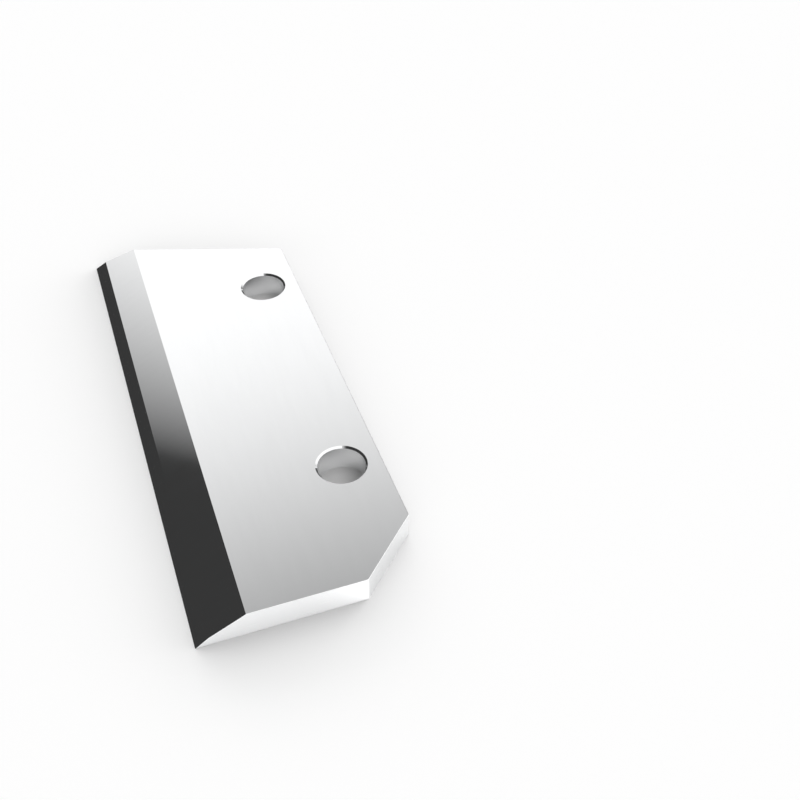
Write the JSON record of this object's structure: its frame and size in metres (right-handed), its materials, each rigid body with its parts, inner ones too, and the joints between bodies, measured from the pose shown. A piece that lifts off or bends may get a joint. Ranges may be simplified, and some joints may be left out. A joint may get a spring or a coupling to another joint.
{
  "type": "wood chipper blade",
  "caption": "Flat steel chipper knife with a two-step bevelled cutting edge, a slanted end, a clipped back corner and a line of through bolt holes.",
  "frame": {"origin": "on the flat seating face, midway between the centres of the bolt holes", "axes": "+Y along the cutting edge, from the clipped end to the slanted end; +Z out of the bevelled face, along the bolts; -X towards the cutting edge"},
  "size_m": [0.0776, 0.2101, 0.01],
  "materials": {
    "ground_steel": "ground and polished"
  },
  "bodies": {
    "root": {"blade": "ground_steel"}
  },
  "joints": []
}
